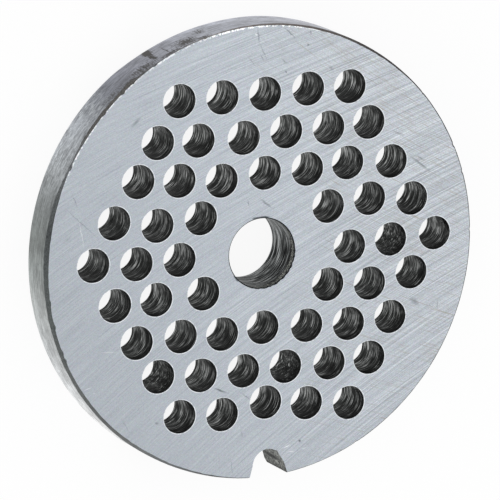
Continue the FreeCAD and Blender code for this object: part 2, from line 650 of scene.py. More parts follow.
    def file_facets(self, cutter: Object, end_y: float) -> None:
        """Flatten the right side of the notch's round end into the facets that a file left.

        Args:
            cutter: The notch's cutter.
            end_y: Where the middle of the round end is.
        """
        for vert in cutter.data.vertices:
            place = vert.co
            bearing = math.degrees(math.atan2(place.y - end_y, place.x))
            for high, low in zip(self.notch_facets, self.notch_facets[1:]):
                if low < bearing < high:
                    middle, half = math.radians((high + low) / 2), math.radians((high - low) / 2)
                    turn = math.radians(bearing)
                    reach = self.notch_end_radius * math.cos(half) / math.cos(turn - middle)
                    place.x = reach * math.cos(turn)
                    place.y = end_y + reach * math.sin(turn)

    def make_cutters(self) -> Object:
        """Set a drill at each hole, the bore's cutter on the axis and the notch's at the rim.

        Returns:
            All cutters, joined into one object.
        """
        drill = self.make_drill("drill", self.hole_steps, self.drill_profile(
            self.sizes.holes[0].radius + self.hole_wear, self.burr, self.burr, self.drill_rings))
        draw = random.Random(self.seed)
        cutters = [self.make_notch_cutter(), self.make_bore_cutter()]
        for number, hole in enumerate(self.sizes.holes):
            copy = drill.copy()
            copy.data = drill.data.copy()
            copy.name = f"drill_{number:02d}"
            bpy.context.scene.collection.objects.link(copy)
            copy.rotation_euler.z = draw.uniform(0.0, 2 * math.pi)
            copy.location = (hole.x, hole.y, 0)
            cutters.append(copy)
        bpy.data.objects.remove(drill)
        deselect_all()
        for cutter in cutters:
            cutter.select_set(True)
        bpy.context.view_layer.objects.active = cutters[0]
        bpy.ops.object.transform_apply(location=True, rotation=True)
        for cutter in cutters[1:]:
            self.lean(cutter)
        bpy.ops.object.join()
        return bpy.context.object

    def lean(self, cutter: Object) -> None:
        """Lean a cutter as the drills leaned, with its mouth left in place."""
        for vert in cutter.data.vertices:
            drop = 1.0 - vert.co.z / self.sizes.thickness
            vert.co.x += self.drill_lean[0] * drop
            vert.co.y += self.drill_lean[1] * drop

    def cut(self, cutters: Object) -> None:
        """Cut the bore, the holes and the notch out of the disc.

        Args:
            cutters: The joined cutters, which are deleted.
        """
        deselect_all()
        self.piece.select_set(True)
        bpy.context.view_layer.objects.active = self.piece
        boolean = self.piece.modifiers.new("drilling", "BOOLEAN")
        boolean.operation = "DIFFERENCE"
        boolean.solver = "MANIFOLD"
        boolean.object = cutters
        bpy.ops.object.modifier_apply(modifier=boolean.name)
        bpy.data.objects.remove(cutters)
        bpy.ops.object.mode_set(mode="EDIT")
        bpy.ops.mesh.select_all(action="SELECT")
        bpy.ops.mesh.remove_doubles(threshold=0.002 * MM)
        bpy.ops.object.mode_set(mode="OBJECT")
        self.put_in_order()
        bpy.ops.object.shade_smooth_by_angle(angle=math.radians(self.smooth_below))

    def put_in_order(self) -> None:
        """List the edges and faces by their vertices, because the boolean lists them differently each run."""
        mesh = bmesh.new()
        mesh.from_mesh(self.piece.data)
        for parts in (mesh.edges, mesh.faces):
            listed = sorted(parts, key=lambda part: sorted(vert.index for vert in part.verts))
            for number, part in enumerate(listed):
                part.index = number
            parts.sort()
        mesh.to_mesh(self.piece.data)
        mesh.free()

    def finish_of(self, place: Vector, normal: Vector) -> Finish:
        """Say which finish a face has.

        Args:
            place: The middle of the face.
            normal: Its normal.

        Returns:
            The face's finish.
        """
        radius, thickness = self.sizes.radius, self.sizes.thickness
        distance = math.hypot(place.x, place.y)
        if abs(normal.z) > 0.995 and (place.z > thickness - 2 * NEAR or place.z < 2 * NEAR):
            return Finish.GROUND
        notch_end = -(radius - self.notch_depth) + 0.3 * MM
        outward = (place.x * normal.x + place.y * normal.y) / distance
        in_notch = place.y < notch_end and abs(place.x) < self.notch_mouth / 2 + 0.2 * MM
        if in_notch and (outward < 0.5 or distance < radius - 1.2 * MM):
            return Finish.NOTCH
        if distance > radius - 1.0 * MM and outward > 0:
            down = self.edge_at(math.degrees(math.atan2(place.y, place.x)))[1]
            return Finish.BROKEN_EDGE if place.z > thickness - down * 0.98 else Finish.RIM
        if distance < self.sizes.bore.radius + self.bore_edge + 0.2 * MM:
            return Finish.BORE if abs(normal.z) < 0.5 else Finish.BORE_EDGE
        if abs(normal.z) > 0.3:
            return Finish.MOUTH
        torn = any(math.dist((place.x, place.y), centre) < self.sizes.holes[0].radius * 1.2
                   for centre in self.torn_holes)
        return Finish.TORN if torn else Finish.DRILLED

    def dress(self) -> None:
        """Give each face its finish."""
        thickness = self.sizes.thickness
        finishes = {
            Finish.GROUND: SurfaceGroundSteel(self.sizes),
            Finish.RIM: TurnedRim(self.sizes),
            Finish.BROKEN_EDGE: StonedEdge(),
            Finish.DRILLED: DrilledWall(thickness),
            Finish.TORN: DrilledWall(thickness, "torn_steel_wall", ring=(0.60 * MM, 0.17 * MM), gloom=0.03),
            Finish.BORE: ReamedBore(thickness),
            Finish.BORE_EDGE: BoreEdge(),
            Finish.NOTCH: SawnWall(),
            Finish.MOUTH: PaintedGlintBurr(),
        }
        self.piece.data.materials.clear()
        for finish in Finish:
            self.piece.data.materials.append(finishes[finish].make())
        for face in self.piece.data.polygons:
            face.material_index = self.finish_of(face.center, face.normal).value


class Metal:
    """A metal finish. Each kind names its material and draws its own pattern."""

    name: str

    def make(self) -> Material:
        """Make the material.

        Returns:
            The metal, with the pattern that its kind draws.
        """
        material, nodes = new_material(self.name)
        place = nodes.add("TexCoord").outputs["Object"]
        shader = nodes.add("BsdfPrincipled", {"Metallic": 1.0, **self.pattern(nodes, place)})
        nodes.add("OutputMaterial", {"Surface": shader})
        return material

    def pattern(self, nodes: Nodes, place: NodeSocket) -> dict:
        """Draw the pattern.

        Args:
            nodes: The material's nodes.
            place: The object coordinates.

        Returns:
            What goes into the metal's shader, by input.
        """
        raise NotImplementedError


@dataclass(frozen=True)
class Mark:
    """A scratch or smudge on the knife face, from one place to another, in mm."""

    start: tuple[float, float]
    end: tuple[float, float]
    width: float
    depth: float


@dataclass(frozen=True)
class SurfaceGroundSteel(Metal):
    """Tool steel ground on a surface grinder, which leaves fine near-straight lines, under a pale painted
    sheen.
    """

    sizes: PlateSizes
    name: str = "surface_ground_tool_steel"
    dark_line: str = "#82888f"
    base: str = "#a8aeb5"
    light_line: str = "#c8cdd2"
    stain: str = "#98958a"
    cross_tint: str = "#857a68"
    scratch_tint: str = "#8a8272"
    mark_tint: str = "#5d6266"
    pale_and_glint_tint: str = "#f6f8fa"
    # Sizes of the lines along, across and down. Real ones are a few hundredths of a millimetre apart,
    # and are drawn coarse enough to show.
    fine_line: Triple = (7.0 * MM, 0.09 * MM, 7.0 * MM)
    broad_line: Triple = (30.0 * MM, 1.6 * MM, 30.0 * MM)
    crisp_line: Triple = (16.0 * MM, 0.105 * MM, 16.0 * MM)
    cross_line: Triple = (2.4 * MM, 0.10 * MM, 2.4 * MM)
    thin_scratch: Triple = (5.5 * MM, 0.085 * MM, 5.5 * MM)
    # How strong the broad lines and the grains are beside the fine lines
    broad_share: float = 0.04
    grain_share: float = 0.58
    # What the lines and grains come to on average
    usual_height: float = 0.80
    # The oil's film: how strong its tints are, and how much light it leaves without them
    film: tuple[float, float] = (0.28, 0.86)
    # How much the lines rise to the right in the middle of the plate, and how much less a metre up
    line_lean: tuple[float, float] = (0.47, 6.6)
    cross_lean: tuple[float, float] = (-0.62, 8.0)
    roughness: float = 0.36
    # How far a shake makes the marks ragged
    shake: float = 0.35 * MM
    dark_marks: tuple[Mark, ...] = (
        Mark((0.4, 34.5), (0.6, 32.2), 0.16, 0.6), Mark((0.6, 32.4), (1.8, 29.5), 0.12, 0.4),
        Mark((4.8, 34.2), (6.7, 32.2), 0.16, 0.6), Mark((-1.3, 30.3), (-0.1, 28.8), 0.14, 0.35),
        Mark((0.7, 30.5), (1.3, 29.5), 0.16, 0.45), Mark((4.1, 29.5), (5.2, 28.5), 0.16, 0.4),
        Mark((9.0, 33.4), (9.1, 32.6), 0.16, 0.5), Mark((8.4, 31.1), (8.8, 31.1), 0.20, 0.8),
        Mark((4.8, 27.6), (5.0, 27.2), 0.18, 0.7), Mark((12.0, 27.6), (12.6, 26.6), 0.40, 0.4),
        Mark((-20.7, 21.9), (-18.9, 23.2), 0.35, 0.5), Mark((1.4, 5.50), (-1.4, 5.50), 0.24, 2.4),
        Mark((-4.75, -2.9), (-3.9, -3.95), 0.24, 2.2), Mark((0.0, 8.4), (1.9, 6.8), 0.22, 0.6),
        Mark((-2.0, 8.4), (-1.9, 7.6), 0.16, 0.5), Mark((-31.5, 10.7), (-26.7, 5.8), 0.12, 0.35),
        Mark((-30.5, 13.0), (-29.6, 10.6), 0.12, 0.4), Mark((-32.1, 5.7), (-30.8, 6.6), 0.35, 0.2),
        Mark((-8.7, -19.8), (-6.5, -20.9), 0.20, 0.8), Mark((-3.9, -21.4), (-2.7, -22.4), 0.16, 0.5),
        Mark((5.2, -30.0), (5.6, -30.2), 0.30, 1.0), Mark((-6.2, -31.3), (-5.9, -33.9), 0.12, 0.35),
        Mark((-23.9, -22.5), (-22.5, -25.0), 0.10, 0.3), Mark((-4.2, -27.0), (-4.2, -28.4), 0.12, 0.4),
        Mark((25.1, 12.0), (28.4, 9.2), 0.26, 0.6), Mark((26.2, 12.0), (27.6, 10.9), 0.20, 0.5),
        Mark((24.4, -10.1), (26.0, -11.6), 0.55, 0.5), Mark((22.1, 16.3), (24.3, 15.2), 0.22, 0.4),
        Mark((29.0, -11.1), (29.1, -12.4), 0.16, 0.4), Mark((-18.5, -23.9), (-17.8, -24.2), 0.25, 0.5))
    pale_marks: tuple[Mark, ...] = (
        Mark((0.0, 33.8), (0.2, 33.4), 0.18, 0.5), Mark((-29.5, 8.7), (-28.8, 4.4), 0.11, 0.3),
        Mark((-27.1, -11.8), (-24.0, -12.2), 0.10, 0.25), Mark((-29.7, -17.4), (-28.5, -17.0), 0.12, 0.35),
        Mark((-28.3, -17.9), (-27.9, -18.1), 0.10, 0.3), Mark((2.6, -30.9), (3.6, -30.5), 0.12, 0.7),
        Mark((3.4, -31.5), (4.3, -31.6), 0.10, 0.5), Mark((5.4, -31.4), (6.6, -31.3), 0.10, 0.4))
    # A burr on the edge of the face, painted bright as a glint: how far in it lies, and where it shows
    glint_band: tuple[float, float] = (0.41 * MM, 0.29 * MM)
    glint_shows: Tones = (
        (-180.0, 0.1), (-120.0, 0.1), (30.0, 0.1), (62.0, 0.6), (86.0, 1.0), (101.0, 1.0), (105.0, 0.6),
        (113.0, 0.75), (118.0, 0.8), (122.0, 0.4), (127.0, 0.85), (149.0, 0.85), (157.0, 0.3), (180.0, 0.1))

    def lean(self, nodes: Nodes, place: NodeSocket, lean: float, change: float) -> Node:
        """Give coordinates whose X runs along the grinder's lines and whose Y runs across them.

        Args:
            nodes: The material's nodes.
            place: The object coordinates.
            lean: The slope of the lines in the middle of the plate.
            change: How much the slope falls with each metre of Y.

        Returns:
            The coordinates.
        """
        parts = nodes.add("SeparateXYZ", {"Vector": place}).outputs
        slope = nodes.add("Math", {"operation": "MULTIPLY_ADD", 0: parts["Y"], 1: -change, 2: lean})
        rise = nodes.add("Math", {"operation": "MULTIPLY", 0: slope, 1: parts["X"]})
        across = nodes.add("Math", {"operation": "SUBTRACT", 0: parts["Y"], 1: rise})
        return nodes.add("CombineXYZ", {"X": parts["X"], "Y": across, "Z": parts["Z"]})

    def marks(self, nodes: Nodes, place: Node, marks: tuple[Mark, ...]) -> Node:
        """Draw scratches and smudges as long soft spots.

        Args:
            nodes: The material's nodes.
            place: The object coordinates, shaken a little so that the marks are ragged.
            marks: The marks.

        Returns:
            A mask of all of them.
        """
        spots = []
        for mark in marks:
            across, up = mark.end[0] - mark.start[0], mark.end[1] - mark.start[1]
            middle = ((mark.start[0] + mark.end[0]) / 2 * MM, (mark.start[1] + mark.end[1]) / 2 * MM,
                      self.sizes.thickness)
            reach = (math.hypot(across, up) * 0.6 * MM, mark.width * MM, 1.0 * MM)
            spots.append(Spot(middle, math.atan2(up, across), reach, mark.depth))
        return nodes.spots(place, spots)

    def edge_glint(self, nodes: Nodes, place: NodeSocket) -> Node:
        """Draw the burr on the edge of the face as a painted glint, mostly at the top of the plate.

        Args:
            nodes: The material's nodes.
            place: The object coordinates.

        Returns:
            Its mask.
        """
        flat = nodes.add("VectorMath", {"operation": "MULTIPLY", 0: place, 1: (1.0, 1.0, 0.0)})
        distance = nodes.add("VectorMath", {"operation": "LENGTH", 0: flat})
        near_edge = nodes.add("MapRange", {
            "Value": distance, "From Min": self.sizes.radius - self.glint_band[0],
            "From Max": self.sizes.radius - self.glint_band[1]})
        azimuth = nodes.add("TexGradient", {"gradient_type": "RADIAL", "Vector": place}).outputs["Fac"]
        where = nodes.add("ValToRGB", {"Fac": azimuth, "stops": tones_round(self.glint_shows)})
        broken = nodes.add("TexNoise", {"Vector": place, "Scale": 3000.0, "Detail": 1.0})
        patchy = nodes.add("MapRange", {"Value": broken, "From Min": 0.44, "From Max": 0.53})
        here = nodes.add("Math", {"operation": "MULTIPLY", 0: near_edge, 1: where})
        return nodes.add("Math", {"operation": "MULTIPLY", 0: here, 1: patchy})

    def ground_lines(self, nodes: Nodes, place: NodeSocket, along: Node, fine: Node, right: Node) -> Node:
        """Draw the height of the grinder's lines, which show more towards the right.

        Args:
            nodes: The material's nodes.
            place: The object coordinates.
            along: The coordinates along the lines.
            fine: The fine lines.
            right: How far to the right a point lies.

        Returns:
            The height, round a half.
        """
        broad = nodes.streaks(along, self.broad_line, 2.0)
        lined = nodes.add("Math", {"operation": "MULTIPLY_ADD", 0: broad, 1: self.broad_share, 2: fine})
        # Fine grains keep the lines from looking drawn with a ruler
        grains = nodes.add("TexNoise", {"Vector": place, "Scale": 6000.0, "Detail": 1.0})
        grainy = nodes.add("Math", {"operation": "MULTIPLY_ADD", 0: grains, 1: self.grain_share, 2: lined})
        centred = nodes.add("Math", {"operation": "SUBTRACT", 0: grainy, 1: self.usual_height})
        worn = nodes.add("MapRange", {
            "Value": right, "From Min": -0.03, "From Max": 0.03, "To Min": 0.85, "To Max": 1.2})
        scaled = nodes.add("Math", {"operation": "MULTIPLY", 0: centred, 1: worn})
        # Long crisp lines stand out on the right
        crisp = nodes.streaks(along, self.crisp_line, 0.0)
        crisp_where = nodes.add("MapRange", {
            "Value": right, "From Min": -0.02, "From Max": 0.03, "To Min": 0.1, "To Max": 1.1})
        even = nodes.add("Math", {"operation": "SUBTRACT", 0: crisp, 1: 0.5})
        raised = nodes.add("Math", {"operation": "MULTIPLY_ADD", 0: even, 1: crisp_where, 2: scaled})
        return nodes.add("Math", {"operation": "ADD", 0: raised, 1: 0.5})

    def pattern(self, nodes: Nodes, place: NodeSocket) -> dict:
        """Draw the ground face: lines, scratches, stains, marks, a painted sheen and a painted glint on its
        edge.

        Args:
            nodes: The material's nodes.
            place: The object coordinates.

        Returns:
            What goes into the metal's shader, by input.
        """
        along = self.lean(nodes, place, *self.line_lean)
        fine = nodes.streaks(along, self.fine_line, 2.0)
        right = nodes.add("VectorMath", {"operation": "DOT_PRODUCT", 0: place, 1: (0.97, 0.1, 0.0)})
        height = self.ground_lines(nodes, place, along, fine, right)
        colour = nodes.add("ValToRGB", {"Fac": height, "stops": [
            (0.0, self.dark_line), (0.5, self.base), (1.0, self.light_line)]})
        # A second pass of the grinder crossed the first on the right of the plate
        across = self.lean(nodes, place, *self.cross_lean)
        cross = nodes.streaks(across, self.cross_line, 2.0)
        crossed = nodes.add("MapRange", {"Value": cross, "From Min": 0.54, "From Max": 0.68})
        upper_right = nodes.add("VectorMath", {"operation": "DOT_PRODUCT", 0: place, 1: (0.95, 0.3, 0.0)})
        reach = nodes.add("MapRange", {
            "Value": upper_right, "From Min": 0.008, "From Max": 0.027, "To Max": 0.55})
        cross_mask = nodes.add("Math", {"operation": "MULTIPLY", 0: crossed, 1: reach})
        # Single thin scratches, a little rusty, cross the right half
        thin = nodes.streaks(across, self.thin_scratch, 1.0)
        scratched = nodes.add("MapRange", {
            "Value": thin, "From Min": 0.62, "From Max": 0.70, "To Max": 0.66})
        scratched_where = nodes.add("MapRange", {"Value": right, "From Min": -0.004, "From Max": 0.014})
        scratch_mask = nodes.add("Math", {"operation": "MULTIPLY", 0: scratched, 1: scratched_where})
        blot = nodes.add("TexNoise", {"Vector": place, "Scale": 520.0, "Detail": 5.0, "Roughness": 0.8})
        stained = nodes.add("MapRange", {"Value": blot, "From Min": 0.58, "From Max": 0.72, "To Max": 0.12})
        shake = nodes.add("TexNoise", {"Vector": place, "Scale": 1200.0, "Detail": 2.0}).outputs["Color"]
        shaken = nodes.add("VectorMath", {
            "operation": "MULTIPLY_ADD", 0: shake, 1: (self.shake,) * 3, 2: place})
        level = nodes.add("VectorMath", {"operation": "SUBTRACT", 0: shaken, 1: (self.shake / 2,) * 3})
        dark = self.marks(nodes, level, self.dark_marks)
        dark_mask = nodes.add("MapRange", {"Value": dark, "From Max": 0.8})
        pale = self.marks(nodes, level, self.pale_marks)
        # Painted glint along the edge of the face
        burr = self.edge_glint(nodes, place)
        bright = nodes.add("Math", {"operation": "MAXIMUM", 0: pale, 1: burr})
        bright_mask = nodes.add("MapRange", {"Value": bright, "From Max": 0.9})
        for mask, tint in ((cross_mask, self.cross_tint), (scratch_mask, self.scratch_tint),
                           (stained, self.stain), (dark_mask, self.mark_tint),
                           (bright_mask, self.pale_and_glint_tint)):
            colour = nodes.add("Mix", {"data_type": "RGBA", 0: mask, 6: colour, 7: tint})
        # Painted sheen: the face's colour is made a little brighter towards the upper right
        slope = nodes.add("VectorMath", {"operation": "DOT_PRODUCT", 0: place, 1: (0.85, 0.5, 0.0)})
        sheen = nodes.add("MapRange", {
            "Value": slope, "From Min": -0.032, "From Max": 0.032, "To Min": 0.88, "To Max": 1.12})
        # A film of oil gives the grains faint warm and cool tints
        film = nodes.add("TexNoise", {"Vector": place, "Scale": 3200.0, "Detail": 2.0, "Roughness": 0.7})
        tinted = nodes.add("VectorMath", {
            "operation": "MULTIPLY_ADD", 0: film.outputs["Color"], 1: self.film[:1] * 3,
            2: self.film[1:] * 3})
        for shade in (sheen, tinted):
            colour = nodes.add("Mix", {
                "data_type": "RGBA", "blend_type": "MULTIPLY", 0: 1.0, 6: colour, 7: shade})
        bump = nodes.add("Bump", {"Height": height, "Strength": 0.3, "Distance": 0.01 * MM})
        rough = nodes.add("MapRange", {
            "Value": fine, "To Min": self.roughness - 0.08, "To Max": self.roughness + 0.1})
        return {"Base Color": colour, "Roughness": rough, "Normal": bump}


@dataclass(frozen=True)
class ScalePatch:
    """A patch of flaked scale on the rim: its azimuth, and in mm its height and how far it reaches."""

    azimuth: float
    height: float
    around: float
    up: float
    depth: float


@dataclass(frozen=True)
class TurnedRim(Metal):
    """The turned rim, scaled, with painted reflections round it, streaks and dark flecks by the face."""

    sizes: PlateSizes
    name: str = "turned_rim_steel"
    # Painted reflections round the rim: bluish at the top, dull and greenish on the left, bright below that
    tones: Tones = (
        (-180.0, "#9a9f9e"), (-176.0, "#a6aaa9"), (-160.0, "#c2c5c6"), (-144.0, "#dcdedf"),
        (-139.0, "#e6e7e7"), (-132.0, "#e9eaea"), (-127.0, "#b4b6b7"), (-119.0, "#77797b"),
        (-100.0, "#77797b"), (-30.0, "#b2b6b9"), (30.0, "#a9acb3"), (60.0, "#b4b6be"), (80.0, "#b3b5be"),
        (100.0, "#afb2bb"), (112.0, "#9fa1aa"), (123.0, "#8b8d96"), (131.0, "#7f828a"), (137.0, "#989ca2"),
        (145.0, "#acb0b5"), (152.0, "#a6aaad"), (162.0, "#808484"), (171.0, "#7f8482"), (180.0, "#9a9f9e"))
    fleck_tint: str = "#43413f"
    highlight_tint: str = "#d3d8dc"
    scale_patches: tuple[ScalePatch, ...] = (
        ScalePatch(107.5, 6.0, 3.0, 2.9, 1.35), ScalePatch(103.4, 7.2, 1.8, 1.0, 1.2),
        ScalePatch(102.3, 3.8, 1.2, 1.9, 1.1), ScalePatch(120.3, 6.4, 3.8, 2.5, 1.15),
        ScalePatch(125.5, 7.1, 3.0, 1.2, 1.3), ScalePatch(130.0, 6.0, 3.5, 1.8, 0.8),
        ScalePatch(112.8, 7.2, 3.0, 1.0, 1.2), ScalePatch(116.0, 2.2, 1.0, 2.6, 2.4),
        ScalePatch(116.3, 4.8, 0.6, 2.4, 1.9), ScalePatch(112.6, 5.2, 0.25, 3.2, 1.2))
    # The tool's lines are finer than this, and are drawn coarse enough to show
    streak: Triple = (2.4 * MM, 2.4 * MM, 0.34 * MM)
    fleck: Triple = (0.20 * MM, 0.20 * MM, 1.0 * MM)
    highlight_dash: Triple = (0.85 * MM, 0.85 * MM, 0.32 * MM)
    highlight_shows: Tones = (
        (-180.0, 0.1), (-60.0, 0.1), (100.0, 0.1), (128.0, 0.2), (137.0, 0.9), (150.0, 1.0), (160.0, 0.4),
        (180.0, 0.1))
    # Grime by the notch takes away the sheen that the rim would have at a grazing look
    clean: Tones = (
        (-180.0, 1.0), (-129.0, 1.0), (-122.0, 0.35), (-95.0, 0.35), (-70.0, 1.0), (180.0, 1.0))
    roughness: float = 0.45

    def flecks(self, nodes: Nodes, place: NodeSocket) -> Node:
        """Draw the dark flecks of scale that run across the rim at the upper left.

        Args:
            nodes: The material's nodes.
            place: The object coordinates.

        Returns:
            Their mask.
        """
        spots = []
        for patch in self.scale_patches:
            turn = math.radians(patch.azimuth)
            middle = (self.sizes.radius * math.cos(turn), self.sizes.radius * math.sin(turn),
                      patch.height * MM)
            spots.append(Spot(middle, turn, (5.0 * MM, patch.around * MM, patch.up * MM), patch.depth))
        spotted = nodes.streaks(place, self.fleck, 3.0, 0.8)
        raised = nodes.add("Math", {
            "operation": "MULTIPLY_ADD", 0: nodes.spots(place, spots), 1: 0.26, 2: spotted})
        return nodes.add("MapRange", {"Value": raised, "From Min": 0.61, "From Max": 0.76})

    def pattern(self, nodes: Nodes, place: NodeSocket) -> dict:
        """Draw the rim: painted reflections round it, streaks, painted highlight dashes and flecks.

        Args:
            nodes: The material's nodes.
            place: The object coordinates.

        Returns:
            What goes into the metal's shader, by input.
        """
        azimuth = nodes.add("TexGradient", {"gradient_type": "RADIAL", "Vector": place}).outputs["Fac"]
        # Painted reflections: the rim's colour is set by azimuth
        tone = nodes.add("ValToRGB", {"Fac": azimuth, "stops": tones_round(self.tones)})
        streaks = nodes.streaks(place, self.streak, 3.0, 0.65)
        patches = nodes.add("TexNoise", {"Vector": place, "Scale": 380.0, "Detail": 4.0, "Roughness": 0.65})
        pits = nodes.add("TexNoise", {"Vector": place, "Scale": 2600.0, "Detail": 3.0, "Roughness": 0.8})
        blotches = nodes.add("Math", {"operation": "MULTIPLY_ADD", 0: pits, 1: 0.4, 2: patches})
        grain = nodes.add("Math", {"operation": "MULTIPLY_ADD", 0: streaks, 1: 1.4, 2: blotches})
        streak_tone = nodes.add("MapRange", {
            "Value": grain, "From Min": 1.1, "From Max": 1.7, "To Min": 0.6, "To Max": 1.4})
        colour = nodes.add("Mix", {
            "data_type": "RGBA", "blend_type": "MULTIPLY", 0: 1.0, 6: tone, 7: streak_tone})
        # Painted highlights: bright dashes run round the rim on the left
        painted_highlight = nodes.streaks(place, self.highlight_dash, 2.0, 0.5, (0.2, 0.1, 0.0))
        highlight_mask = nodes.add("MapRange", {
            "Value": painted_highlight, "From Min": 0.5, "From Max": 0.64, "To Max": 0.8})
        highlight_where = nodes.add("ValToRGB", {"Fac": azimuth, "stops": tones_round(self.highlight_shows)})
        highlight_here = nodes.add("Math", {"operation": "MULTIPLY", 0: highlight_mask, 1: highlight_where})
        for mask, tint in ((highlight_here, self.highlight_tint), (self.flecks(nodes, place), self.fleck_tint)):
            colour = nodes.add("Mix", {"data_type": "RGBA", 0: mask, 6: colour, 7: tint})
        # The rim is darker towards the face and lighter towards the back
        height = nodes.add("SeparateXYZ", {"Vector": place}).outputs["Z"]
        darker_to_face = nodes.add("MapRange", {
            "Value": height, "From Min": 1.0 * MM, "From Max": 6.6 * MM, "To Min": 1.08, "To Max": 0.86})
        colour = nodes.add("Mix", {
            "data_type": "RGBA", "blend_type": "MULTIPLY", 0: 1.0, 6: colour, 7: darker_to_face})
        bump = nodes.add("Bump", {"Height": streaks, "Strength": 0.5, "Distance": 0.01 * MM})
        rough = nodes.add("MapRange", {
            "Value": patches, "To Min": self.roughness - 0.1, "To Max": self.roughness + 0.15})
        sheen = nodes.add("ValToRGB", {"Fac": azimuth, "stops": tones_round(self.clean)})
        return {"Base Color": colour, "Roughness": rough, "Specular Tint": sheen, "Normal": bump}


@dataclass(frozen=True)
class StonedEdge(Metal):
    """An edge broken with a stone, dark with oil and scale, brownish at the top, and with painted reflections
    round it.
    """

    name: str = "dark_stoned_edge"
    # Partly oil and scale, partly painted reflections that change round the plate
    tones: Tones = (
        (-180.0, "#525757"), (-150.0, "#565a59"), (-135.0, "#484c4b"), (-120.0, "#505456"),
        (-100.0, "#46484a"), (-60.0, "#444649"), (30.0, "#333538"), (48.0, "#383433"), (62.0, "#403b39"),
        (90.0, "#6b635e"), (100.0, "#86827f"), (118.0, "#646568"), (126.0, "#5c5a57"), (140.0, "#5c5b59"),
        (150.0, "#6c6e70"), (160.0, "#585c5d"), (168.0, "#484c4d"), (180.0, "#525757"))
    grain: float = 0.3 * MM
    roughness: float = 0.5

    def pattern(self, nodes: Nodes, place: NodeSocket) -> dict:
        """Draw mottled tones round the edge."""
        azimuth = nodes.add("TexGradient", {"gradient_type": "RADIAL", "Vector": place}).outputs["Fac"]
        tone = nodes.add("ValToRGB", {"Fac": azimuth, "stops": tones_round(self.tones)})
        mottle = nodes.add("TexNoise", {
            "Vector": place, "Scale": 1.0 / self.grain, "Detail": 4.0, "Roughness": 0.7})
        worn = nodes.add("MapRange", {
            "Value": mottle, "From Min": 0.3, "From Max": 0.7, "To Min": 0.45, "To Max": 1.55})
        colour = nodes.add("Mix", {
            "data_type": "RGBA", "blend_type": "MULTIPLY", 0: 1.0, 6: tone, 7: worn})
        bump = nodes.add("Bump", {"Height": mottle, "Strength": 0.5, "Distance": 0.02 * MM})
        return {"Base Color": colour, "Roughness": self.roughness, "Normal": bump}


@dataclass(frozen=True)
class DrilledWall(Metal):
    """A drilled wall, dark and oily, with torn rings where the drill's lips dragged, their bright arcs
    painted highlights.
    """

    thickness: float
    name: str = "drilled_steel_wall"
    # Length and width of a ring. Real ones are finer, and are drawn coarse enough to show.
    ring: tuple[float, float] = (2.8 * MM, 0.19 * MM)
    # How much darker a torn wall is, as a share of the way from its darkest to its brightest tone
    gloom: float = 0.0
    roughness: float = 0.42
    # Old oil takes the grazing sheen off the wall
    sheen: tuple[float, float, float, float] = (0.62, 0.62, 0.62, 1.0)

    def pattern(self, nodes: Nodes, place: NodeSocket) -> dict:
        """Draw the rings of a drilled wall, darker just under the mouth.

        Args:
            nodes: The material's nodes.
            place: The object coordinates.

        Returns:
            What goes into the metal's shader, by input.
        """
        length, width = self.ring
        rings = nodes.streaks(place, (length, length, width), 2.0, 0.62, (0.05, 0.04, 0.0))
        patches = nodes.add("TexNoise", {"Vector": place, "Scale": 750.0, "Detail": 2.0})
        mixed = nodes.add("Math", {"operation": "MULTIPLY_ADD", 0: patches, 1: 0.27, 2: rings})
        height = nodes.add("SeparateXYZ", {"Vector": place}).outputs["Z"]
        under = nodes.add("MapRange", {
            "Value": height, "From Min": self.thickness - 1.6 * MM, "From Max": self.thickness - 0.5 * MM,
            "To Min": -self.gloom, "To Max": -0.07 - self.gloom})
        # Painted highlight: the side facing the side lamp is painted brighter, and the rest of the wall a
        # little darker
        inward = nodes.add("TexCoord").outputs["Normal"]
        facing_lit_side = nodes.add("VectorMath", {"operation": "DOT_PRODUCT", 0: inward, 1: (-0.77, -0.64, 0.0)})
        torn = nodes.add("MapRange", {
            "Value": facing_lit_side, "From Min": 0.1, "From Max": 1.0, "To Min": -0.02, "To Max": 0.05})
        shifted = nodes.add("Math", {"operation": "ADD", 0: mixed, 1: torn})
        shaded = nodes.add("Math", {"operation": "ADD", 0: shifted, 1: under})
        # The bright end of the ramp paints highlights on the rings
        colour = nodes.add("ValToRGB", {"Fac": shaded, "stops": [
            (0.565, "#181918"), (0.665, "#3a3c3b"), (0.735, "#7d7f7e"), (0.815, "#cdcfce")]})
        bump = nodes.add("Bump", {"Height": rings, "Strength": 1.0, "Distance": 0.07 * MM})
        return {"Base Color": colour, "Roughness": self.roughness, "Specular Tint": self.sheen,
                "Normal": bump}


